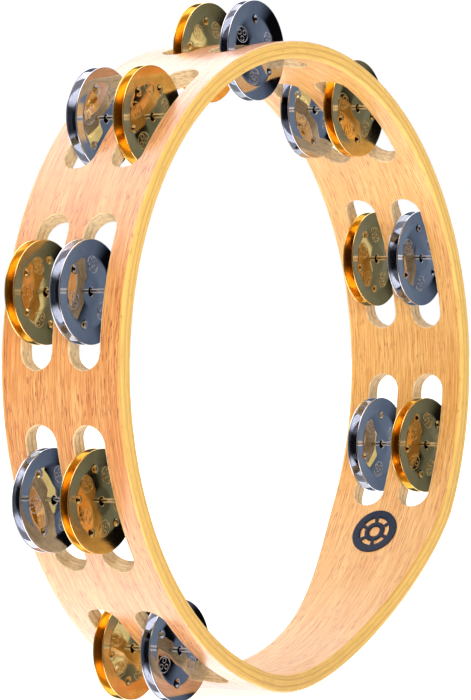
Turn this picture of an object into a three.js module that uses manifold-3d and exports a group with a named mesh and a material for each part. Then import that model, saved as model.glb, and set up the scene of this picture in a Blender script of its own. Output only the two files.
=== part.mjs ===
// A headless wooden tambourine, standing upright on its rim.
//
// A bent plywood hoop has two rows of slots. At every station one long steel pin runs through both
// rows, parallel to the hoop's axis, and carries four thin metal jingles: a pair in each slot. One
// stretch of the hoop has no slots and is scooped narrower on both edges, as the hand grip.
//
// Millimetres. +Z is up, the hoop's axis lies along Y and its front edge faces -Y. Angles around the
// hoop run from +X towards +Z. The origin is under the middle of the tambourine, where it stands.

import * as THREE from 'three';
import { mergeVertices } from 'three/addons/utils/BufferGeometryUtils.js';
import Module from 'manifold-3d';

const { cos, sin, PI } = Math;
const degrees = THREE.MathUtils.degToRad;

// Hoop
const HOOP_RADIUS = 127;
const WALL = 6.8;
const HOOP_WIDTH = 54.4;
const EDGE_CHAMFER = 1;
const HOOP_STEPS = 96;

// Hand grip: how deep each edge is scooped, and how square the scoop's ends are (1 is a plain cosine)
const GRIP_HALF_ANGLE = degrees(39.5);
const GRIP_FRONT = { depth: 9.8, power: 0.65 };
const GRIP_REAR = { depth: 8.4, power: 0.9 };

// Stations, each with a front slot and a rear slot
const STATIONS = 8;
const STATION_PITCH = degrees(36.4);
const SLOT_LENGTH = 60;
const SLOT_WIDTH = 13.6;
const SLOT_END_STEPS = 8;
const ROWS = { front: -10.8, rear: 10.8 };

// Pins, driven in from the rear edge and blind in the wall in front of the front slots
const PIN_RADIUS = 0.9;
const PIN_SIDES = 12;
const PIN_CIRCLE = 124.3;
const PIN_SETBACK = 0.4;
const PIN_BITE = 5.6;
const FIT_GAP = 0.3;

// Jingles: the hub rises and the outer band flares, both away from the other jingle of the pair, and
// the valley between them is what the two jingles strike together
const JINGLE_RADIUS = 19.6;
const JINGLE_HOLE = 1.7;
const JINGLE_VALLEY = 12.5;
const JINGLE_DOME = 1.2;
const JINGLE_FLARE = 1.3;
const SHEET = 0.6;
const JINGLE_HANG = 0.35;
const JINGLE_SIDES = 24;
const PAIR_SPACING = 1.5;
const NOD = degrees(0.6);
const TURN = degrees(0.7);

// How far in front of its slot's rear wall each pair has come to rest, station by station
const PAIR_REST = {
  front: [1.6, 1.6, 1.2, 1, 1.2, 1.3, 1.4, 1.4],
  rear: [1.3, 1.5, 2.1, 1, 1.4, 2.4, 1.3, 1.3],
};

// How far the -X side of each pair leans towards the rear, station by station
const PAIR_LEAN = {
  front: [3.6, 0.3, 0.5, 0.5, 0.6, 1.4, 3.4, 1.5].map(degrees),
  rear: [0.3, 0, 0.5, 0.5, 0.6, 1.4, 3.4, 1.5].map(degrees),
};

// Round badge on the inside of the hoop, between the grip and the nearest slots
const BADGE_RADIUS = 10.1;
const BADGE_THICKNESS = 0.5;
const BADGE_SIDES = 24;
const BADGE_Y = 2.2;
const BADGE_FROM_GRIP = degrees(33);

// The hoop rests on its own outside and on the jingles of its last station, so the angle of that
// station is the one at which a hanging jingle reaches exactly as low as the hoop.
const LAST_STATION = 1.5 * PI - Math.acos((HOOP_RADIUS - JINGLE_RADIUS - JINGLE_HANG) / PIN_CIRCLE);
const GRIP_CENTRE = LAST_STATION + (2 * PI - (STATIONS - 1) * STATION_PITCH) / 2;

const wood = new THREE.MeshStandardMaterial({ color: 0xd9a066, roughness: 0.45, metalness: 0 });
const brass = new THREE.MeshStandardMaterial({ color: 0xb39a52, roughness: 0.2, metalness: 1 });
const steel = new THREE.MeshStandardMaterial({ color: 0xa9b3c2, roughness: 0.12, metalness: 1 });
const pinSteel = new THREE.MeshStandardMaterial({ color: 0xc4c6c8, roughness: 0.25, metalness: 1 });
const navyInk = new THREE.MeshStandardMaterial({ color: 0x1c2740, roughness: 0.5, metalness: 0 });

const wasm = await Module();
wasm.setup();

const tambourine = new THREE.Group();

function addMesh(name, geometry, material) {
  const mesh = new THREE.Mesh(geometry, material);
  mesh.name = name;
  tambourine.add(mesh);
  return mesh;
}

function toSolid(geometry) {
  const bare = geometry.clone();
  bare.deleteAttribute('normal');
  bare.deleteAttribute('uv');
  const merged = mergeVertices(bare);
  return new wasm.Manifold(new wasm.Mesh({
    numProp: 3,
    vertProperties: new Float32Array(merged.attributes.position.array),
    triVerts: new Uint32Array(merged.index.array),
  }));
}

function toGeometry(solid) {
  const mesh = solid.getMesh();
  const geometry = new THREE.BufferGeometry();
  geometry.setAttribute('position', new THREE.BufferAttribute(mesh.vertProperties, 3));
  geometry.setIndex(new THREE.BufferAttribute(mesh.triVerts, 1));
  geometry.computeVertexNormals();
  return geometry;
}

function stationAngle(station) {
  return LAST_STATION - (STATIONS - station) * STATION_PITCH;
}

// How far an edge of the hoop is cut back at an angle around it.
function scoop(angle, { depth, power }) {
  const away = Math.abs(angle - GRIP_CENTRE);
  const turned = Math.min(away, 2 * PI - away) / GRIP_HALF_ANGLE;
  return turned < 1 ? depth * (0.5 + 0.5 * cos(PI * turned)) ** power : 0;
}

// The hoop's section at an angle: a chamfered rectangle as [radius, y] pairs.
function hoopSection(angle) {
  const front = -HOOP_WIDTH / 2 + scoop(angle, GRIP_FRONT);
  const rear = HOOP_WIDTH / 2 - scoop(angle, GRIP_REAR);
  const inner = HOOP_RADIUS - WALL;
  const c = EDGE_CHAMFER;
  return [
    [HOOP_RADIUS, front + c],
    [HOOP_RADIUS, rear - c],
    [HOOP_RADIUS - c, rear],
    [inner + c, rear],
    [inner, rear - c],
    [inner, front + c],
    [inner + c, front],
    [HOOP_RADIUS - c, front],
  ];
}

// A closed ring: the section at each step is joined to the next one around.
function ringGeometry() {
  const positions = [];
  const index = [];
  const sides = hoopSection(0).length;
  for (let step = 0; step < HOOP_STEPS; step += 1) {
    const angle = (2 * PI * step) / HOOP_STEPS;
    for (const [radius, y] of hoopSection(angle)) {
      positions.push(radius * cos(angle), y, radius * sin(angle));
    }
    for (let side = 0; side < sides; side += 1) {
      const a = step * sides + side;
      const b = step * sides + ((side + 1) % sides);
      const c = ((step + 1) % HOOP_STEPS) * sides + side;
      const d = ((step + 1) % HOOP_STEPS) * sides + ((side + 1) % sides);
      index.push(a, b, c, b, d, c);
    }
  }
  const geometry = new THREE.BufferGeometry();
  geometry.setAttribute('position', new THREE.Float32BufferAttribute(positions, 3));
  geometry.setIndex(index);
  return geometry;
}

// A round-ended bar that points outward through the wall, as the cutter of one slot. It widens
// outward, so that the slot spans the same angle at the inside and the outside of the wall.
function slotCutter(angle, y) {
  const half = SLOT_WIDTH / 2;
  const straight = SLOT_LENGTH / 2 - half;
  const outline = new THREE.Shape();
  outline.absarc(straight, 0, half, -PI / 2, PI / 2, false);
  outline.absarc(-straight, 0, half, PI / 2, 1.5 * PI, false);
  const cutter = new THREE.ExtrudeGeometry(outline, {
    depth: 3 * WALL,
    bevelEnabled: false,
    curveSegments: SLOT_END_STEPS,
  });
  cutter.rotateY(PI / 2);
  cutter.translate(HOOP_RADIUS - 2 * WALL, y, 0);
  const points = cutter.attributes.position;
  for (let i = 0; i < points.count; i += 1) {
    points.setZ(i, points.getX(i) * Math.tan(points.getZ(i) / HOOP_RADIUS));
  }
  cutter.rotateY(-angle);
  return toSolid(cutter);
}

// A round bar along a station's pin line.
function pinBar(station, radius, from, to) {
  const bar = new THREE.CylinderGeometry(radius, radius, to - from, PIN_SIDES);
  bar.translate(PIN_CIRCLE, (from + to) / 2, 0);
  bar.rotateY(-stationAngle(station));
  return bar;
}

const pinFront = ROWS.front - SLOT_WIDTH / 2 - PIN_BITE;
const pinRear = HOOP_WIDTH / 2 - PIN_SETBACK;

function addHoop() {
  let hoop = toSolid(ringGeometry());
  for (let station = 1; station <= STATIONS; station += 1) {
    for (const y of Object.values(ROWS)) {
      hoop = hoop.subtract(slotCutter(stationAngle(station), y));
    }
    const hole = pinBar(station, PIN_RADIUS + FIT_GAP, pinFront - FIT_GAP, HOOP_WIDTH);
    hoop = hoop.subtract(toSolid(hole));
  }
  addMesh('hoop', toGeometry(hoop), wood);
}

function addPins() {
  for (let station = 1; station <= STATIONS; station += 1) {
    addMesh(`pin_${station}`, pinBar(station, PIN_RADIUS, pinFront, pinRear), pinSteel);
  }
}

// One jingle, centred on its hole with its valley in the XZ plane, its hub and rim raised to +Y.
function jingleGeometry() {
  const half = SHEET / 2;
  const profile = [
    [JINGLE_HOLE, JINGLE_DOME - half],
    [JINGLE_VALLEY, -half],
    [JINGLE_RADIUS, JINGLE_FLARE - half],
    [JINGLE_RADIUS, JINGLE_FLARE + half],
    [JINGLE_VALLEY, half],
    [JINGLE_HOLE, JINGLE_DOME + half],
    [JINGLE_HOLE, JINGLE_DOME - half],
  ];
  return new THREE.LatheGeometry(profile.map(([r, y]) => new THREE.Vector2(r, y)), JINGLE_SIDES);
}

// The pair in one slot. Both jingles hang low on their loose pin and lean the way their pair does,
// with a little of their own.
function addPair(station, row, metal) {
  const angle = stationAngle(station);
  const slotRear = ROWS[row] + SLOT_WIDTH / 2;
  const rearMost = slotRear - PAIR_REST[row][station - 1] - JINGLE_FLARE - SHEET / 2;
  const places = { a: rearMost - PAIR_SPACING, b: rearMost };
  for (const [letter, y] of Object.entries(places)) {
    const jingle = addMesh(`jingle_${station}_${row}_${letter}`, jingleGeometry(), metal);
    const leaning = tambourine.children.length;
    jingle.position.set(PIN_CIRCLE * cos(angle), y, PIN_CIRCLE * sin(angle) - JINGLE_HANG);
    const nod = NOD * sin(1.9 * leaning) + (letter === 'a' ? PI : 0);
    const lean = TURN * cos(2.7 * leaning) - PAIR_LEAN[row][station - 1];
    jingle.rotation.set(nod, 0, lean, 'ZYX');
  }
}

// Brass and steel pairs alternate along each row and across the two rows.
function addJingles() {
  for (let station = 1; station <= STATIONS; station += 1) {
    const odd = station % 2 === 1;
    addPair(station, 'front', odd ? brass : steel);
    addPair(station, 'rear', odd ? steel : brass);
  }
}

// A thin round disc bent to lie against the hoop's inside.
function addBadge() {
  const rings = [
    [0, 0],
    [BADGE_RADIUS / 2, 0],
    [BADGE_RADIUS, 0],
    [BADGE_RADIUS, BADGE_THICKNESS],
    [BADGE_RADIUS / 2, BADGE_THICKNESS],
    [0, BADGE_THICKNESS],
  ];
  const profile = rings.map(([r, y]) => new THREE.Vector2(r, y));
  const badge = new THREE.LatheGeometry(profile, BADGE_SIDES);
  const seat = HOOP_RADIUS - WALL - FIT_GAP - BADGE_THICKNESS;
  const points = badge.attributes.position;
  for (let i = 0; i < points.count; i += 1) {
    const radius = seat + points.getY(i);
    const turn = points.getZ(i) / seat;
    points.setXYZ(i, radius * cos(turn), -points.getX(i), radius * sin(turn));
  }
  badge.rotateY(-(GRIP_CENTRE + BADGE_FROM_GRIP));
  addMesh('badge', badge, navyInk).position.y = BADGE_Y;
}

addHoop();
addPins();
addJingles();
addBadge();

// The origin goes under the middle of the box around everything.
const box = new THREE.Box3().setFromObject(tambourine, true);
const middle = box.getCenter(new THREE.Vector3());
tambourine.position.set(-middle.x, -middle.y, -box.min.z);

export default tambourine;
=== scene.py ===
"""A headless wooden tambourine in a plain studio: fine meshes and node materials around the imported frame.

Metres. +Z is up, the hoop's axis lies along Y and its front edge faces -Y. Angles around the hoop run
from +X towards +Z, as in the frame.
"""

import math

import bmesh
import bpy
import numpy as np
from mathutils import Matrix, Vector


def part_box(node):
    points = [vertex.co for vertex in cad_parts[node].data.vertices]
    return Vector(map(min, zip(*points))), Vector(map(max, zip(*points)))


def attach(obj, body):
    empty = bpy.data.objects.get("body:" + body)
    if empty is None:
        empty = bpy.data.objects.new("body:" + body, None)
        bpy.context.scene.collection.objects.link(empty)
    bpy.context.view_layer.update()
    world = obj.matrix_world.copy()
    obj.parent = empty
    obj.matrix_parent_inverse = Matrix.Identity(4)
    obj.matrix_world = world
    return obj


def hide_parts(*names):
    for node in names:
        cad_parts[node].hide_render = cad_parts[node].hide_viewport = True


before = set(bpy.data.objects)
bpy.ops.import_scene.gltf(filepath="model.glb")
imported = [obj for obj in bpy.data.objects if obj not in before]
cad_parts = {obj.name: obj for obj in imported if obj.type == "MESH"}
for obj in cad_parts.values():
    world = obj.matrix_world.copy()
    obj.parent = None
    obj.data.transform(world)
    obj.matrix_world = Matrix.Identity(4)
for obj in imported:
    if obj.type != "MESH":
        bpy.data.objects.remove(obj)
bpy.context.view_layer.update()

MM = 0.001
TAU = 2 * math.pi
WELD = 0.002 * MM
STATIONS = range(1, 9)

# Hoop
HOOP_LOW, HOOP_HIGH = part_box("hoop")
HOOP_CENTRE = (HOOP_LOW + HOOP_HIGH) / 2
HOOP_RADIUS = (HOOP_HIGH.x - HOOP_LOW.x) / 2
HALF_WIDTH = (HOOP_HIGH.y - HOOP_LOW.y) / 2
WALL = 6.8 * MM
INNER_RADIUS = HOOP_RADIUS - WALL
EDGE_ROUND = 1.2 * MM
EDGE_STEPS = 5
PLY_PITCH = 2.3 * MM

# Hand grip: how deep each edge is scooped, and how square the scoop's ends are (1 is a plain cosine)
GRIP_HALF_ANGLE = math.radians(39.5)
GRIP_FRONT = (9.8 * MM, 0.65)
GRIP_REAR = (8.4 * MM, 0.9)

# Slots
SLOT_HALF_LENGTH = 30 * MM
SLOT_HALF_WIDTH = 6.8 * MM
SLOT_ROUND = 0.45 * MM
SLOT_ROUND_STEPS = 4
WALL_STEPS = 5
ROW_OFFSET = 10.8 * MM

# Pins
PIN_RADIUS = 0.9 * MM
PIN_HOLE_RADIUS = 1.15 * MM
PIN_HOLE_DEPTH = 5 * MM
PIN_HOLE_BEVEL = 0.15 * MM
PIN_CROWN = 0.3 * MM
PIN_SIDES = 32

# Jingles: from the hole a flat hub, a slope down to a round valley and a slope up to the flared rim
JINGLE_RADIUS = 19.6 * MM
JINGLE_HOLE = 1.7 * MM
JINGLE_DOME = 1.2 * MM
JINGLE_HUB = 5.3 * MM
JINGLE_VALLEY = 13.2 * MM
JINGLE_FLARE = 1.3 * MM
JINGLE_BEND = 0.8 * MM
SHEET = 0.6 * MM
JINGLE_SIDES = 200
DIMPLES = {"brass": 5, "steel": 3}
DIMPLE_CIRCLE = 12.5 * MM
DIMPLE_RADIUS = 1.75 * MM
DIMPLE_HEIGHT = 0.95 * MM
STAMP_CIRCLE = 10.4 * MM
STAMP_RADIUS = 3.1 * MM
STAMP_PETAL = 0.9 * MM
STAMP_LINE = 0.2 * MM
STAMP_LINE_SIDES = 5
STAMP_PETALS = 3

# Where the first dimple of a jingle stands, in degrees around its axis. The hidden ones are spread out.
HIDDEN_SPREAD = 137
DIMPLE_TURNS = {
    "jingle_1_front_a": 24, "jingle_1_rear_a": 112, "jingle_2_front_a": 4, "jingle_2_rear_a": 35,
    "jingle_3_front_a": 40, "jingle_3_rear_a": 62, "jingle_4_front_a": 116, "jingle_4_rear_a": 80,
    "jingle_5_front_a": 42, "jingle_5_rear_a": 27, "jingle_6_front_a": 48, "jingle_6_rear_a": 55,
    "jingle_7_front_a": 14, "jingle_7_rear_a": 37, "jingle_8_front_a": 57, "jingle_8_rear_a": 28,
}

# Badge
BADGE_RADIUS = 10.1 * MM
BADGE_THICKNESS = 0.3 * MM
BADGE_GAP = 0.05 * MM
BADGE_SIDES = 96
BADGE_RINGS = [r * MM for r in (0, 1.2, 2.4, 3.5, 4.6, 5.6, 6.6, 7.8, 8.8, 9.6)] + [BADGE_RADIUS]
BADGE_EYE = (0, 1)
BADGE_WINDOWS = (4, 5)
BADGE_WINDOW_PITCH = 16
BADGE_BAR = 4

# Camera, and the floor under it all
FLOOR_SIZE = 60
VIEW_AZIMUTH = math.radians(56.68)
VIEW_ELEVATION = math.radians(-0.1)
VIEW_ROLL = math.radians(-0.136)
VIEW_TARGET = Vector((-8.74 * MM, 0, 133.66 * MM))
VIEW_DISTANCE = 1650.3 * MM
LENS = 216.67


# ---------------------------------------------------------------- helpers for nodes

def add_node(tree, kind, inputs=None, **settings):
    """A new shader node. Each input is given a number, a colour or another node's output."""
    made = tree.nodes.new("ShaderNode" + kind)
    for name, value in settings.items():
        setattr(made, name, value)
    for name, value in (inputs or {}).items():
        if isinstance(value, bpy.types.NodeSocket):
            tree.links.new(value, made.inputs[name])
        else:
            made.inputs[name].default_value = value
    return made


def calculate(tree, operation, *values):
    """The result of a Math node on numbers or other nodes' outputs."""
    return add_node(tree, "Math", dict(enumerate(values)), operation=operation).outputs[0]


def new_material(name):
    """An empty node material, its tree and its Principled shader."""
    material = bpy.data.materials.new(name)
    material.use_nodes = True
    tree = material.node_tree
    return material, tree, tree.nodes["Principled BSDF"]


def noise(tree, vector, stretch, detail=2.0, roughness=0.5):
    """Noise from 0 to 1, with its own number of features per metre along each axis."""
    scaled = add_node(tree, "Mapping", {"Vector": vector, "Scale": stretch})
    made = add_node(tree, "TexNoise", {
        "Vector": scaled.outputs["Vector"],
        "Scale": 1.0,
        "Detail": detail,
        "Roughness": roughness,
    })
    return made.outputs["Fac"]


def remap(tree, value, low, high, to_low=0.0, to_high=1.0):
    """value from low..high, smoothly to to_low..to_high and held there."""
    made = add_node(tree, "MapRange", {
        "Value": value,
        "From Min": low,
        "From Max": high,
        "To Min": to_low,
        "To Max": to_high,
    }, interpolation_type="SMOOTHSTEP")
    return made.outputs["Result"]


def mix_colour(tree, factor, a, b):
    """Colour a where factor is 0 and colour b where it is 1."""
    made = add_node(tree, "Mix", data_type="RGBA")
    for index, value in ((0, factor), (6, a), (7, b)):
        if isinstance(value, bpy.types.NodeSocket):
            tree.links.new(value, made.inputs[index])
        elif index == 0:
            made.inputs[0].default_value = value
        else:
            made.inputs[index].default_value = (*value, 1)
    return made.outputs[2]


def add_bump(tree, shader, height, depth):
    """height from 0 to 1 stands proud by depth in metres."""
    bump = add_node(tree, "Bump", {"Height": height, "Distance": depth, "Strength": 1.0})
    tree.links.new(bump.outputs["Normal"], shader.inputs["Normal"])


# ---------------------------------------------------------------- materials

def veneer_material(name, pale, deep, lacquer, open_pores):
    """Veneer: long streaks from pale to deep, fine dark fibres and short reddish pore lines."""
    material, tree, shader = new_material(name)
    uv = add_node(tree, "TexCoord").outputs["UV"]
    broad = noise(tree, uv, (6, 55, 1), 3.0)
    streak = noise(tree, uv, (26, 620, 1), 4.0, 0.6)
    fibre = noise(tree, uv, (55, 2300, 1), 3.0, 0.6)
    pores = noise(tree, uv, (180, 2100, 1), 2.0, 0.5)
    spread = noise(tree, uv, (25, 140, 1), 2.0)
    waves = remap(tree, broad, 0.32, 0.68, 0, 0.45)
    tone = calculate(tree, "ADD", waves, remap(tree, streak, 0.41, 0.59, 0, 0.55))
    colour = mix_colour(tree, tone, pale, deep)
    darker = (0.80 * deep[0], 0.66 * deep[1], 0.5 * deep[2])
    colour = mix_colour(tree, remap(tree, fibre, 0.45, 0.62, 0, 0.85), colour, darker)
    depth = remap(tree, spread, 0.35, 0.6, 0.3 * open_pores, open_pores)
    marks = calculate(tree, "MULTIPLY", remap(tree, pores, 0.57, 0.63), depth)
    colour = mix_colour(tree, marks, colour, (0.40, 0.095, 0.025))
    tree.links.new(colour, shader.inputs["Base Color"])
    tree.links.new(remap(tree, streak, 0.2, 0.8, 0.36, 0.5), shader.inputs["Roughness"])
    shader.inputs["Coat Weight"].default_value = lacquer
    shader.inputs["Coat Roughness"].default_value = 0.22
    shader.inputs["Coat IOR"].default_value = 1.6
    add_bump(tree, shader, calculate(tree, "SUBTRACT", 1.0, marks), 0.05 * MM)
    return material


def ply_edge_material():
    """Sanded plywood edge: pale gold, with its thin layers as soft wandering lines across the wall."""
    material, tree, shader = new_material("ply_edge")
    uv = add_node(tree, "TexCoord").outputs["UV"]
    wander = noise(tree, uv, (5, 40, 1), 3.0)
    across = add_node(tree, "SeparateXYZ", {"Vector": uv}).outputs["Y"]
    shift = calculate(tree, "MULTIPLY", wander, 2.4)
    layer = calculate(tree, "ADD", shift, calculate(tree, "MULTIPLY", across, 1 / PLY_PITCH))
    layers = calculate(tree, "SINE", calculate(tree, "MULTIPLY", layer, TAU))
    fibre = noise(tree, uv, (90, 2200, 1), 4.0, 0.6)
    fleck = noise(tree, uv, (260, 1500, 1), 3.0, 0.6)
    colour = mix_colour(tree, remap(tree, layers, 0.3, 1.0, 0, 0.6), (0.88, 0.56, 0.14), (0.60, 0.30, 0.05))
    colour = mix_colour(tree, remap(tree, fibre, 0.42, 0.68, 0, 0.6), colour, (0.64, 0.36, 0.09))
    colour = mix_colour(tree, remap(tree, fleck, 0.58, 0.7, 0, 0.6), colour, (0.42, 0.22, 0.06))
    tree.links.new(colour, shader.inputs["Base Color"])
    tree.links.new(remap(tree, fibre, 0.2, 0.8, 0.38, 0.55), shader.inputs["Roughness"])
    shader.inputs["Coat Weight"].default_value = 0.3
    shader.inputs["Coat Roughness"].default_value = 0.25
    add_bump(tree, shader, fibre, 0.06 * MM)
    return material


def slot_wall_material():
    """The routed walls of the slots: bare pale plywood with cut fibres across it."""
    material, tree, shader = new_material("slot_wall")
    uv = add_node(tree, "TexCoord").outputs["UV"]
    layers = noise(tree, uv, (60, 700, 1), 4.0, 0.6)
    fibre = noise(tree, uv, (420, 2600, 1), 3.0, 0.6)
    colour = mix_colour(tree, remap(tree, layers, 0.35, 0.65), (0.95, 0.74, 0.44), (0.76, 0.52, 0.25))
    colour = mix_colour(tree, remap(tree, fibre, 0.45, 0.7, 0, 0.7), colour, (0.26, 0.17, 0.08))
    tree.links.new(colour, shader.inputs["Base Color"])
    shader.inputs["Roughness"].default_value = 0.7
    add_bump(tree, shader, fibre, 0.1 * MM)
    return material


def metal_material(name, bright, dull, shine, grain_depth):
    """Rolled sheet metal: a little uneven in tone and shine, with a very fine grain."""
    material, tree, shader = new_material(name)
    place = add_node(tree, "TexCoord").outputs["Object"]
    cloud = noise(tree, place, (180, 180, 180), 3.0)
    grain = noise(tree, place, (5200, 5200, 5200), 2.0)
    tone = mix_colour(tree, remap(tree, cloud, 0.3, 0.7), bright, dull)
    tree.links.new(tone, shader.inputs["Base Color"])
    tree.links.new(remap(tree, cloud, 0.3, 0.75, *shine), shader.inputs["Roughness"])
    shader.inputs["Metallic"].default_value = 1.0
    add_bump(tree, shader, grain, grain_depth)
    return material


def ink_material():
    """Navy screen-printing ink, a little uneven where the wood's pores take it."""
    material, tree, shader = new_material("badge_ink")
    place = add_node(tree, "TexCoord").outputs["Object"]
    mottle = noise(tree, place, (900, 900, 900), 3.0)
    colour = mix_colour(tree, remap(tree, mottle, 0.35, 0.7), (0.010, 0.018, 0.038), (0.020, 0.031, 0.058))
    tree.links.new(colour, shader.inputs["Base Color"])
    tree.links.new(remap(tree, mottle, 0.3, 0.7, 0.5, 0.65), shader.inputs["Roughness"])
    shader.inputs["Specular IOR Level"].default_value = 0.2
    add_bump(tree, shader, mottle, 0.02 * MM)
    return material


def floor_material():
    """Matt white that glows a little, so that hardly a shadow shows on it."""
    material, tree, shader = new_material("studio_floor")
    place = add_node(tree, "TexCoord").outputs["Object"]
    cloud = noise(tree, place, (3, 3, 3), 2.0)
    colour = mix_colour(tree, cloud, (0.90, 0.90, 0.90), (0.93, 0.93, 0.93))
    tree.links.new(colour, shader.inputs["Base Color"])
    shader.inputs["Roughness"].default_value = 0.9
    shader.inputs["Emission Color"].default_value = (1, 1, 1, 1)
    shader.inputs["Emission Strength"].default_value = 0.75
    return material


# ---------------------------------------------------------------- helpers for meshes

def new_piece(name, mesh, materials, matrix=None):
    """An object in the scene with a mesh, its materials and, if it isn't made in place, its matrix."""
    for material in materials:
        mesh.materials.append(material)
    piece = bpy.data.objects.new(name, mesh)
    bpy.context.scene.collection.objects.link(piece)
    if matrix is not None:
        piece.matrix_world = matrix
    return piece


def around_hoop(angle, y, radius):
    """The point at an angle around the hoop, y along its axis and radius from it."""
    return (
        HOOP_CENTRE.x + radius * math.cos(angle),
        HOOP_CENTRE.y + y,
        HOOP_CENTRE.z + radius * math.sin(angle),
    )


class Shell:
    """Collects faces, each with its own corners, coordinates for grain and material, then welds them."""

    def __init__(self):
        self.points = []
        self.faces = []
        self.grain = []
        self.slots = []

    def face(self, corners, slot):
        """corners is a list of (point, grain coordinate)."""
        first = len(self.points)
        self.points += [point for point, _ in corners]
        self.faces.append(tuple(range(first, first + len(corners))))
        self.grain += [place for _, place in corners]
        self.slots.append(slot)

    def strip(self, near, far, slot, closed=False):
        """A strip of four-sided faces between two lines of (point, grain coordinate)."""
        count = len(near) if closed else len(near) - 1
        for i in range(count):
            j = (i + 1) % len(near)
            self.face([near[i], near[j], far[j], far[i]], slot)

    def mesh(self, name):
        made = bpy.data.meshes.new(name)
        made.from_pydata(self.points, [], self.faces)
        grain = made.uv_layers.new(name="grain")
        grain.data.foreach_set("uv", np.array(self.grain, float).ravel())
        made.polygons.foreach_set("material_index", self.slots)
        shape = bmesh.new()
        shape.from_mesh(made)
        bmesh.ops.remove_doubles(shape, verts=shape.verts, dist=WELD)
        bmesh.ops.recalc_face_normals(shape, faces=shape.faces)
        shape.to_mesh(made)
        shape.free()
        made.shade_smooth()
        return made


def lathe(profile, sides):
    """A closed solid from [radius, height] pairs turned about Z. A radius of 0 is a single point."""
    shape = bmesh.new()
    rings = []
    for radius, height in profile:
        if radius == 0:
            rings.append([shape.verts.new((0, 0, height))])
            continue
        turns = [TAU * i / sides for i in range(sides)]
        rings.append([shape.verts.new((radius * math.cos(t), radius * math.sin(t), height)) for t in turns])
    for near, far in zip(rings, rings[1:]):
        for i in range(sides):
            j = (i + 1) % sides
            corners = [near[i % len(near)], near[j % len(near)], far[j % len(far)], far[i % len(far)]]
            shape.faces.new(list(dict.fromkeys(corners)))
    bmesh.ops.recalc_face_normals(shape, faces=shape.faces)
    return shape


# ---------------------------------------------------------------- hoop

def station_angles():
    """Where the pins stand around the hoop, in radians, rising from station 1 to station 8."""
    angles = []
    for station in STATIONS:
        low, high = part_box(f"pin_{station}")
        line = (low + high) / 2 - HOOP_CENTRE
        angle = math.atan2(line.z, line.x)
        while angles and angle < angles[-1]:
            angle += TAU
        angles.append(angle)
    return angles


ANGLES = station_angles()
GRIP_CENTRE = (ANGLES[0] + ANGLES[-1]) / 2 + math.pi
low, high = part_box("pin_1")
PIN_CIRCLE = ((low + high) / 2 - HOOP_CENTRE).xz.length

# The mesh has a rectangular patch around every slot, joined by plain stretches.
PATCH_HALF_ANGLE = 34 * MM / HOOP_RADIUS
PATCH_COLUMNS = 28
PATCH_ROWS = 8
COLUMN = 2 * PATCH_HALF_ANGLE / PATCH_COLUMNS
RIM_ROWS = 8
HOLE_COLUMNS = 4
OUTER, INNER, EDGE, CUT = range(4)

# Where the veneer's grain starts and ends, out of sight: outside on the right, inside on the left
SEAMS = {HOOP_RADIUS: math.radians(8), INNER_RADIUS: math.radians(172)}


def scoop(angle, depth, power):
    """How far an edge with a scoop of this depth and squareness is cut back at an angle."""
    away = abs((angle - GRIP_CENTRE + math.pi) % TAU - math.pi) / GRIP_HALF_ANGLE
    return depth * (0.5 + 0.5 * math.cos(math.pi * away)) ** power if away < 1 else 0


def cut_back(angle, y):
    """y on a hoop without a grip, moved in by the scoops of the edges."""
    scooped = scoop(angle, *(GRIP_FRONT if y < 0 else GRIP_REAR))
    full = HALF_WIDTH - EDGE_ROUND
    if abs(y) <= full:
        return y * (full - scooped) / full
    return y - math.copysign(scooped, y)


def along(angle, middle, radius):
    """Grain coordinate along the veneer, unbroken over a face whose middle is at that angle."""
    return HOOP_RADIUS * ((middle - SEAMS[radius]) % TAU + angle - middle)


def hoop_columns():
    """Angles of the mesh's lines around the hoop, and the first column of each station's patch."""
    angles, firsts = [], []
    for k, angle in enumerate(ANGLES):
        firsts.append(len(angles))
        start, end = angle - PATCH_HALF_ANGLE, angle + PATCH_HALF_ANGLE
        angles += list(np.linspace(start, end, PATCH_COLUMNS + 1))
        following = ANGLES[k + 1] if k + 1 < len(ANGLES) else ANGLES[0] + TAU
        gap = following - PATCH_HALF_ANGLE - end
        steps = max(2, round(gap / COLUMN))
        angles += list(np.linspace(end, end + gap, steps + 1))[1:-1]
    return angles + [angles[0] + TAU], firsts


def hoop_profile():
    """The hoop's section as (radius, y, slot of the face that starts there, its surface)."""
    full, far = HALF_WIDTH - EDGE_ROUND, 2 * ROW_OFFSET
    rows = list(np.linspace(-far, far, 2 * PATCH_ROWS + 1))
    beside = [(far + full) / 2, full]
    flat = [-y for y in reversed(beside)] + rows + beside
    outer_middle, inner_middle = HOOP_RADIUS - EDGE_ROUND, INNER_RADIUS + EDGE_ROUND
    rim = np.linspace(outer_middle, inner_middle, RIM_ROWS + 1)

    def corner(radius, y, start):
        """A quarter round about a middle, without its last point."""
        turns = [start + math.pi / 2 * i / EDGE_STEPS for i in range(EDGE_STEPS)]
        ways = [(EDGE_ROUND * math.cos(t), EDGE_ROUND * math.sin(t)) for t in turns]
        return [(radius + out, y + aside, EDGE, "round") for out, aside in ways]

    section = [(HOOP_RADIUS, y, OUTER, "outer") for y in flat[:-1]]
    section += corner(outer_middle, full, 0)
    section += [(r, HALF_WIDTH, EDGE, "rear_rim") for r in rim[:-1]]
    section += corner(inner_middle, full, math.pi / 2)
    section += [(INNER_RADIUS, -y, INNER, "inner") for y in flat[:-1]]
    section += corner(inner_middle, -full, math.pi)
    section += [(r, -HALF_WIDTH, EDGE, "front_rim") for r in rim[:0:-1]]
    section += corner(outer_middle, -full, 1.5 * math.pi)
    return section


def oblong(offset, turn, grow):
    """The slot's outline: offset along its straight part, and the turn of the way out of it."""
    reach = SLOT_HALF_WIDTH + grow
    return offset + reach * math.cos(turn), reach * math.sin(turn)


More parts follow.
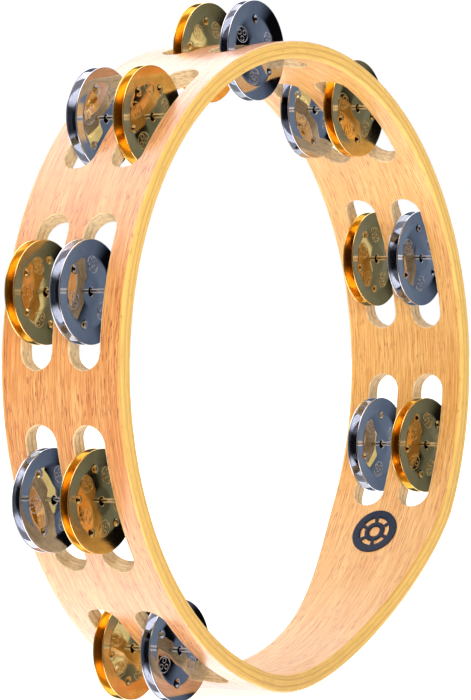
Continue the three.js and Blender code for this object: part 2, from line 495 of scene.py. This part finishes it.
def patch_border():
    """Points around a patch as (along, across), each with its place on the slot as (offset, turn)."""
    half_length, half_width = PATCH_HALF_ANGLE * HOOP_RADIUS, ROW_OFFSET
    straight = SLOT_HALF_LENGTH - SLOT_HALF_WIDTH
    xs = list(np.linspace(-half_length, half_length, PATCH_COLUMNS + 1))
    ys = list(np.linspace(-half_width, half_width, PATCH_ROWS + 1))
    border = [(x, -half_width) for x in xs[:-1]] + [(half_length, y) for y in ys[:-1]]
    border += [(x, half_width) for x in xs[:0:-1]] + [(-half_length, y) for y in ys[:0:-1]]
    corner = half_length - straight
    way = 2 * corner + 2 * half_width
    placed = []
    for x, y in border:
        if abs(x) <= straight:
            placed.append(((x, y), (x, math.copysign(math.pi / 2, y))))
            continue
        if abs(y) == half_width:
            gone = abs(x) - straight
            gone = gone if y < 0 else way - gone
        else:
            gone = corner + y + half_width
        turn = math.pi * gone / way - math.pi / 2
        turn = turn if x > 0 else math.pi - turn
        placed.append(((x, y), (math.copysign(straight, x), turn)))
    return placed


def add_slot(shell, station_angle, row):
    """The veneer around one slot, inside and outside, and the slot's rounded wall between them."""
    border = patch_border()
    shares = (0, 0.06, 0.2, 0.5, 1)
    for radius, slot in ((HOOP_RADIUS, OUTER), (INNER_RADIUS, INNER)):
        lines = []
        for share in shares:
            line = []
            for (x, y), (offset, turn) in border:
                slot_x, slot_y = oblong(offset, turn, SLOT_ROUND)
                angle = ((1 - share) * slot_x + share * x) / HOOP_RADIUS + station_angle
                across = row + (1 - share) * slot_y + share * y
                across = cut_back(angle, across)
                place = (along(angle, station_angle, radius), across)
                line.append((around_hoop(angle, across, radius), place))
            lines.append(line)
        for near, far in zip(lines, lines[1:]):
            shell.strip(near, far, slot, closed=True)
    quarter = [math.pi / 2 * i / SLOT_ROUND_STEPS for i in range(SLOT_ROUND_STEPS + 1)]
    start, end = HOOP_RADIUS - SLOT_ROUND, INNER_RADIUS + SLOT_ROUND
    lead_in = [(SLOT_ROUND * (1 - math.sin(t)), start + SLOT_ROUND * math.cos(t)) for t in quarter]
    straight = [(0, r) for r in np.linspace(start, end, WALL_STEPS + 1)[1:-1]]
    lead_out = [(grow, HOOP_RADIUS + INNER_RADIUS - r) for grow, r in reversed(lead_in)]
    lines = []
    for grow, radius in lead_in + straight + lead_out:
        line, run, before = [], 0, None
        for _, (offset, turn) in border:
            x, y = oblong(offset, turn, grow)
            run += math.dist((x, y), before) if before else 0
            before = (x, y)
            angle = x / HOOP_RADIUS + station_angle
            point = around_hoop(angle, cut_back(angle, row + y), radius)
            line.append((point, (run, HOOP_RADIUS - radius)))
        lines.append(line)
    for near, far in zip(lines, lines[1:]):
        shell.strip(near, far, CUT, closed=True)


def add_pin_hole(shell, station_angle):
    """The rear rim around one pin hole, and the hole's wall and floor."""
    half = HOLE_COLUMNS / 2 * COLUMN
    xs = list(np.linspace(-half, half, HOLE_COLUMNS + 1))
    rs = list(np.linspace(INNER_RADIUS + EDGE_ROUND, HOOP_RADIUS - EDGE_ROUND, RIM_ROWS + 1))
    border = [(x, rs[0]) for x in xs[:-1]] + [(half, r) for r in rs[:-1]]
    border += [(x, rs[-1]) for x in xs[:0:-1]] + [(-half, r) for r in rs[:0:-1]]

    def line(share, reach, y):
        """From the border (share 1) to a circle of that reach around the pin (share 0)."""
        made = []
        for angle, radius in border:
            x, r = radius * math.sin(angle), radius * math.cos(angle)
            turn = math.atan2(r - PIN_CIRCLE, x)
            x = share * x + (1 - share) * reach * math.cos(turn)
            r = share * r + (1 - share) * (PIN_CIRCLE + reach * math.sin(turn))
            around = station_angle + math.atan2(x, r)
            out = math.hypot(x, r)
            place = (around * HOOP_RADIUS, HOOP_RADIUS - out + HALF_WIDTH - y)
            made.append((around_hoop(around, y, out), place))
        return made

    lines = [line(share, PIN_HOLE_RADIUS + PIN_HOLE_BEVEL, HALF_WIDTH) for share in (1, 0.4, 0)]
    lines.append(line(0, PIN_HOLE_RADIUS, HALF_WIDTH - PIN_HOLE_BEVEL))
    lines.append(line(0, PIN_HOLE_RADIUS, HALF_WIDTH - PIN_HOLE_DEPTH))
    for near, far in zip(lines, lines[1:]):
        shell.strip(near, far, EDGE, closed=True)
    shell.face(lines[-1], EDGE)


def make_hoop(materials):
    """The bent plywood shell, in one mesh, with materials for OUTER, INNER, EDGE and CUT in that order."""
    shell = Shell()
    columns, firsts = hoop_columns()
    section = hoop_profile()
    patched = {first + i for first in firsts for i in range(PATCH_COLUMNS)}
    middle = (PATCH_COLUMNS - HOLE_COLUMNS) // 2
    drilled = {first + middle + i for first in firsts for i in range(HOLE_COLUMNS)}
    for i, (start, end) in enumerate(zip(columns, columns[1:])):
        for j, (radius, y, slot, surface) in enumerate(section):
            next_radius, next_y, _, _ = section[(j + 1) % len(section)]
            within_patch = max(abs(y), abs(next_y)) <= 2 * ROW_OFFSET + WELD
            if slot in (OUTER, INNER) and i in patched and within_patch:
                continue
            if surface == "rear_rim" and i in drilled:
                continue
            outline = (
                (start, radius, y),
                (end, radius, y),
                (end, next_radius, next_y),
                (start, next_radius, next_y),
            )
            corners = []
            for angle, r, at in outline:
                moved = cut_back(angle, at)
                if slot in (OUTER, INNER):
                    place = (along(angle, (start + end) / 2, radius), moved)
                else:
                    place = (angle * HOOP_RADIUS, HOOP_RADIUS - r)
                corners.append((around_hoop(angle, moved, r), place))
            shell.face(corners, slot)
    for angle in ANGLES:
        add_slot(shell, angle, -ROW_OFFSET)
        add_slot(shell, angle, ROW_OFFSET)
        add_pin_hole(shell, angle)
    hoop = new_piece("hoop_shell", shell.mesh("hoop_shell"), materials)
    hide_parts("hoop")
    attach(hoop, "hoop")


# ---------------------------------------------------------------- pins

def make_pins(material):
    """Straight round bars with slightly crowned ends."""
    for station in STATIONS:
        low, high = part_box(f"pin_{station}")
        length = high.y - low.y
        turns = np.linspace(0, math.pi / 2, 6)[:-1]
        ends = [(PIN_RADIUS * math.cos(t), PIN_CROWN * math.sin(t)) for t in turns]
        profile = [(0, -length / 2)] + [(r, -length / 2 + PIN_CROWN - h) for r, h in reversed(ends)]
        profile += [(PIN_RADIUS, y) for y in np.linspace(-length / 2, length / 2, 10)[1:-1]]
        profile += [(r, length / 2 - PIN_CROWN + h) for r, h in ends] + [(0, length / 2)]
        shape = lathe(profile, PIN_SIDES)
        mesh = bpy.data.meshes.new(f"pin_{station}_bar")
        shape.to_mesh(mesh)
        shape.free()
        mesh.shade_smooth()
        place = Matrix.Translation((low + high) / 2) @ Matrix.Rotation(-math.pi / 2, 4, "X")
        pin = new_piece(f"pin_{station}_bar", mesh, [material], place)
        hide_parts(f"pin_{station}")
        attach(pin, "hoop")


# ---------------------------------------------------------------- jingles

def beyond(radius, edge):
    """How far radius is past edge, or 0 before it, with the corner between them rounded."""
    past = (radius - edge) / JINGLE_BEND
    return JINGLE_BEND * (max(past, 0) if abs(past) >= 1 else (past + 1) ** 2 / 4)


def jingle_lift(radius, turn, dimples):
    """How far the sheet's middle stands above the bottom of its valley, towards the flared side."""
    fall = JINGLE_DOME / (JINGLE_VALLEY - JINGLE_HUB)
    rise = JINGLE_FLARE / (JINGLE_RADIUS - JINGLE_VALLEY)
    lift = JINGLE_DOME - fall * beyond(radius, JINGLE_HUB) + (fall + rise) * beyond(radius, JINGLE_VALLEY)
    for k in range(dimples):
        at = TAU * k / dimples
        away = math.hypot(
            radius * math.cos(turn) - DIMPLE_CIRCLE * math.cos(at),
            radius * math.sin(turn) - DIMPLE_CIRCLE * math.sin(at),
        ) / DIMPLE_RADIUS
        if away < 1:
            lift += DIMPLE_HEIGHT * (0.5 + 0.5 * math.cos(math.pi * away)) ** 0.6
    return lift


def jingle_rings():
    """The jingle's section as (radius, side): side is 1 on the flared face, -1 on the other.

    The rings stand closest at the bend of the hub and from the dimples to the stamps' outer reach.
    """
    rounding = SHEET / 2
    wide = [JINGLE_HOLE + rounding + 0.1 * MM, 3.2 * MM] + list(np.arange(4.4 * MM, 6.3 * MM, 0.3 * MM))
    wide += [7.2 * MM, 8.2 * MM, 9.2 * MM, 10 * MM]
    fine = list(np.arange(10.6 * MM, 15 * MM, 0.3 * MM))
    outer = [15.8 * MM, 17 * MM, 18.2 * MM, JINGLE_RADIUS - rounding - 0.1 * MM]
    radii = wide + fine + outer
    rings = [(r, 1.0) for r in radii]
    turns = np.linspace(math.pi / 2, -math.pi / 2, 7)
    rings += [(JINGLE_RADIUS - rounding + rounding * math.cos(t), math.sin(t)) for t in turns]
    rings += [(r, -1.0) for r in reversed(radii)]
    rings += [(JINGLE_HOLE + rounding - rounding * math.cos(t), -math.sin(t)) for t in turns]
    return rings


def add_ring_line(shape, centre, reach, dimples, steps):
    """A raised round line of the stamp, half sunk in the flared face."""
    rings = []
    for i in range(steps):
        turn = TAU * i / steps
        ring = []
        for k in range(STAMP_LINE_SIDES):
            tilt = TAU * (k + 0.5) / STAMP_LINE_SIDES
            r = reach + STAMP_LINE * math.cos(tilt)
            x, y = centre[0] + r * math.cos(turn), centre[1] + r * math.sin(turn)
            lift = jingle_lift(math.hypot(x, y), math.atan2(y, x), dimples) + SHEET / 2
            ring.append(shape.verts.new((x, y, lift + STAMP_LINE * (0.75 * math.sin(tilt) - 0.05))))
        rings.append(ring)
    for i in range(steps):
        near, far = rings[i], rings[(i + 1) % steps]
        for k in range(STAMP_LINE_SIDES):
            m = (k + 1) % STAMP_LINE_SIDES
            shape.faces.new((near[k], near[m], far[m], far[k]))


def jingle_mesh(name, matrix, dimples):
    """One jingle made about its own Z axis, flared towards +Z, and then put in its place."""
    shape = bmesh.new()
    rings = []
    for radius, side in jingle_rings():
        ring = []
        for i in range(JINGLE_SIDES):
            turn = TAU * i / JINGLE_SIDES
            height = jingle_lift(radius, turn, dimples) + side * SHEET / 2
            ring.append(shape.verts.new((radius * math.cos(turn), radius * math.sin(turn), height)))
        rings.append(ring)
    for near, far in zip(rings, rings[1:] + rings[:1]):
        for i in range(JINGLE_SIDES):
            j = (i + 1) % JINGLE_SIDES
            shape.faces.new((near[i], near[j], far[j], far[i]))
    for k in range(dimples):
        at = TAU * (k + 0.5) / dimples
        centre = (STAMP_CIRCLE * math.cos(at), STAMP_CIRCLE * math.sin(at))
        add_ring_line(shape, centre, STAMP_RADIUS, dimples, 32)
        for petal in range(STAMP_PETALS):
            out = at + TAU * petal / STAMP_PETALS
            away = STAMP_RADIUS - STAMP_PETAL - 3 * STAMP_LINE
            small = (centre[0] + away * math.cos(out), centre[1] + away * math.sin(out))
            add_ring_line(shape, small, STAMP_PETAL, dimples, 16)
    bmesh.ops.remove_doubles(shape, verts=shape.verts, dist=0.001 * MM)
    bmesh.ops.recalc_face_normals(shape, faces=shape.faces)
    shape.transform(matrix)
    mesh = bpy.data.meshes.new(name)
    shape.to_mesh(mesh)
    shape.free()
    mesh.shade_smooth()
    return mesh


def jingle_place(node):
    """The matrix that puts a jingle where its CAD node is: on its hole's centre, flared the same way."""
    points = np.array([v.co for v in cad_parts[node].data.vertices], float)
    points = np.unique(np.round(points, 7), axis=0)
    middle = points.mean(0)
    normal = np.linalg.svd(points - middle)[2][2]
    out = points - middle
    reach = np.linalg.norm(out - np.outer(out @ normal, normal), axis=1)
    hole = points[reach < JINGLE_HOLE * 1.5].mean(0)
    rim = points[reach > JINGLE_RADIUS * 0.97].mean(0)
    valley = points[(reach > JINGLE_HOLE * 1.5) & (reach < JINGLE_RADIUS * 0.97)].mean(0)
    normal = normal * np.sign((rim - valley) @ normal)
    turned = Vector(normal).to_track_quat("Z", "X").to_matrix().to_4x4()
    return Matrix.Translation(Vector(hole - JINGLE_DOME * normal)) @ turned


def make_jingles(brass, steel):
    """Brass and steel take turns along the rows, and each station has one of them in each row."""
    sheets = {"brass": brass, "steel": steel}
    count = 0
    for station in STATIONS:
        for row in ("front", "rear"):
            metal = "brass" if (station % 2 == 1) == (row == "front") else "steel"
            for letter in "ab":
                node = f"jingle_{station}_{row}_{letter}"
                count += 1
                turn = math.radians(DIMPLE_TURNS.get(node, HIDDEN_SPREAD * count))
                place = jingle_place(node) @ Matrix.Rotation(turn, 4, "Z")
                mesh = jingle_mesh(node, place, DIMPLES[metal])
                jingle = new_piece(f"{node}_disc", mesh, [sheets[metal]])
                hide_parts(node)
                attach(jingle, node)


# ---------------------------------------------------------------- badge

def make_badge(material):
    """A thin round print on the inside of the hoop, with a ring of short arcs left open to the wood."""
    low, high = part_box("badge")
    middle = (low + high) / 2 - HOOP_CENTRE
    angle = math.atan2(middle.z, middle.x)
    bottom = INNER_RADIUS - BADGE_GAP
    top = bottom - BADGE_THICKNESS

    def open_cell(ring, side):
        return ring in BADGE_EYE or (ring in BADGE_WINDOWS and side % BADGE_WINDOW_PITCH >= BADGE_BAR)

    def point(radius, turn, level):
        x, y = radius * math.cos(turn), radius * math.sin(turn)
        return around_hoop(angle + x / INNER_RADIUS, middle.y + y, level), (x, y)

    shell = Shell()
    turns = [TAU * i / BADGE_SIDES for i in range(BADGE_SIDES)]
    rings = len(BADGE_RINGS) - 1
    solid = {(k, i) for k in range(rings) for i in range(BADGE_SIDES) if not open_cell(k, i)}
    for k, i in sorted(solid):
        near, far = BADGE_RINGS[k], BADGE_RINGS[k + 1]
        start, end = turns[i], turns[(i + 1) % BADGE_SIDES]
        for level in (top, bottom):
            corners = [(near, start), (near, end), (far, end), (far, start)]
            if near == 0:
                corners = corners[1:]
            shell.face([point(r, t, level) for r, t in corners], 0)
        sides = [
            ((k + 1, i), (far, start), (far, end)),
            ((k, (i - 1) % BADGE_SIDES), (near, start), (far, start)),
            ((k, (i + 1) % BADGE_SIDES), (near, end), (far, end)),
        ]
        if k > 0:
            sides.append(((k - 1, i), (near, start), (near, end)))
        for neighbour, a, b in sides:
            if neighbour not in solid:
                shell.face([point(*a, top), point(*b, top), point(*b, bottom), point(*a, bottom)], 0)
    badge = new_piece("badge_print", shell.mesh("badge_print"), [material])
    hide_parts("badge")
    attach(badge, "hoop")


# ---------------------------------------------------------------- studio

def make_floor():
    """The ground under the object, as far as the camera can see."""
    bpy.ops.mesh.primitive_plane_add(size=FLOOR_SIZE, location=(0, 0, 0))
    floor = bpy.context.object
    floor.name = "studio_floor"
    floor.data.materials.append(floor_material())
    floor.visible_glossy = False


# The tent around the object, by azimuth from the front (-Y) towards the right (+X), in degrees
TENT = (
    (-180, (0.80, 0.82, 0.85)),
    (-152, (0.50, 0.52, 0.55)),
    (-142, (0.10, 0.10, 0.12)),
    (-108, (0.10, 0.10, 0.12)),
    (-98, (0.60, 0.60, 0.60)),
    (-78, (0.60, 0.60, 0.60)),
    (-70, (0.03, 0.03, 0.03)),
    (-30, (0.02, 0.02, 0.03)),
    (2, (0.003, 0.003, 0.004)),
    (42, (0.003, 0.003, 0.004)),
    (51, (0.12, 0.15, 0.21)),
    (92, (0.24, 0.29, 0.38)),
    (104, (1.40, 1.42, 1.45)),
    (180, (0.80, 0.82, 0.85)),
)
TENT_TOP = (3.5, 3.2, 3.3)
TENT_BELOW = (3.2, 3.0, 3.1)
SOFT_LIGHT = 0.3


def make_world():
    """White to the camera. To the object it is a tent with white, blue-grey and black walls.

    Its top and bottom are bright mostly behind the object, and as a soft light all of it is dimmer.
    """
    world = bpy.data.worlds.new("studio")
    world.use_nodes = True
    bpy.context.scene.world = world
    tree = world.node_tree
    tent = tree.nodes["Background"]
    way = add_node(tree, "TexCoord").outputs["Generated"]
    parts = add_node(tree, "SeparateXYZ", {"Vector": way})
    front = calculate(tree, "MULTIPLY", parts.outputs["Y"], -1.0)
    azimuth = calculate(tree, "ARCTAN2", parts.outputs["X"], front)
    share = calculate(tree, "ADD", calculate(tree, "MULTIPLY", azimuth, 1 / TAU), 0.5)
    ramp = add_node(tree, "ValToRGB", {"Fac": share})
    stops = ramp.color_ramp.elements
    for degrees, colour in TENT[1:-1]:
        stops.new(degrees / 360 + 0.5).color = (*colour, 1)
    stops[0].color = (*TENT[0][1], 1)
    stops[-1].color = (*TENT[-1][1], 1)
    behind = remap(tree, parts.outputs["Y"], -0.3, 0.2, 0.2, 1.0)
    above = calculate(tree, "MULTIPLY", remap(tree, parts.outputs["Z"], 0.42, 0.68), behind)
    below = calculate(tree, "MULTIPLY", remap(tree, parts.outputs["Z"], -0.68, -0.42, 1.0, 0.0), behind)
    walls = mix_colour(tree, above, ramp.outputs["Color"], TENT_TOP)
    walls = mix_colour(tree, below, walls, TENT_BELOW)
    rays = add_node(tree, "LightPath")
    tree.links.new(walls, tent.inputs["Color"])
    strength = remap(tree, rays.outputs["Is Diffuse Ray"], 0, 1, 1.0, SOFT_LIGHT)
    tree.links.new(strength, tent.inputs["Strength"])
    seen = add_node(tree, "Background", {"Color": (1, 1, 1, 1), "Strength": 1.0})
    both = add_node(tree, "MixShader", {
        0: rays.outputs["Is Camera Ray"],
        1: tent.outputs["Background"],
        2: seen.outputs["Background"],
    })
    tree.links.new(both.outputs["Shader"], tree.nodes["World Output"].inputs["Surface"])


def add_softbox(name, direction, distance, size, power):
    """A large square light that shines on the middle of the hoop from a direction, and isn't mirrored."""
    light = bpy.data.lights.new(name, "AREA")
    light.size = size
    light.energy = power
    lamp = bpy.data.objects.new(name, light)
    bpy.context.scene.collection.objects.link(lamp)
    away = Vector(direction).normalized()
    lamp.location = HOOP_CENTRE + away * distance
    lamp.rotation_mode = "QUATERNION"
    lamp.rotation_quaternion = away.to_track_quat("Z", "Y")
    lamp.visible_camera = False
    lamp.visible_glossy = False


def make_lights():
    """A key from the upper left and a weaker light straight at the front edge."""
    add_softbox("key", (-0.80, -0.45, 0.40), 2.2, 0.8, 21)
    add_softbox("front", (0.05, -1, 0.05), 2.2, 0.9, 12)


def make_camera():
    """A long lens level with the hoop, off its front to the left."""
    camera = bpy.data.objects.new("camera", bpy.data.cameras.new("camera"))
    bpy.context.scene.collection.objects.link(camera)
    level = math.cos(VIEW_ELEVATION)
    forward = Vector((
        math.sin(VIEW_AZIMUTH) * level,
        math.cos(VIEW_AZIMUTH) * level,
        math.sin(VIEW_ELEVATION),
    ))
    camera.location = VIEW_TARGET - forward * VIEW_DISTANCE
    facing = forward.to_track_quat("-Z", "Y").to_matrix() @ Matrix.Rotation(VIEW_ROLL, 3, "Z")
    camera.rotation_mode = "QUATERNION"
    camera.rotation_quaternion = facing.to_quaternion()
    camera.data.lens = LENS
    camera.data.clip_start = 0.01
    camera.data.clip_end = 100
    bpy.context.scene.camera = camera


bpy.context.scene.view_settings.view_transform = "Standard"
make_camera()
make_floor()
make_world()
make_lights()

brass_sheet = metal_material("jingle_brass", (0.93, 0.68, 0.25), (0.82, 0.57, 0.19), (0.10, 0.18), 0.003 * MM)
steel_sheet = metal_material("jingle_steel", (0.70, 0.72, 0.75), (0.62, 0.64, 0.68), (0.04, 0.08), 0.001 * MM)
pin_wire = metal_material("pin_steel", (0.80, 0.80, 0.80), (0.68, 0.68, 0.69), (0.12, 0.22), 0.001 * MM)

make_hoop([
    veneer_material("outer_veneer", (0.90, 0.47, 0.155), (0.72, 0.28, 0.065), 1.0, 1.0),
    veneer_material("inner_veneer", (0.92, 0.57, 0.19), (0.78, 0.40, 0.10), 0.25, 0.6),
    ply_edge_material(),
    slot_wall_material(),
])
make_pins(pin_wire)
make_jingles(brass_sheet, steel_sheet)
make_badge(ink_material())
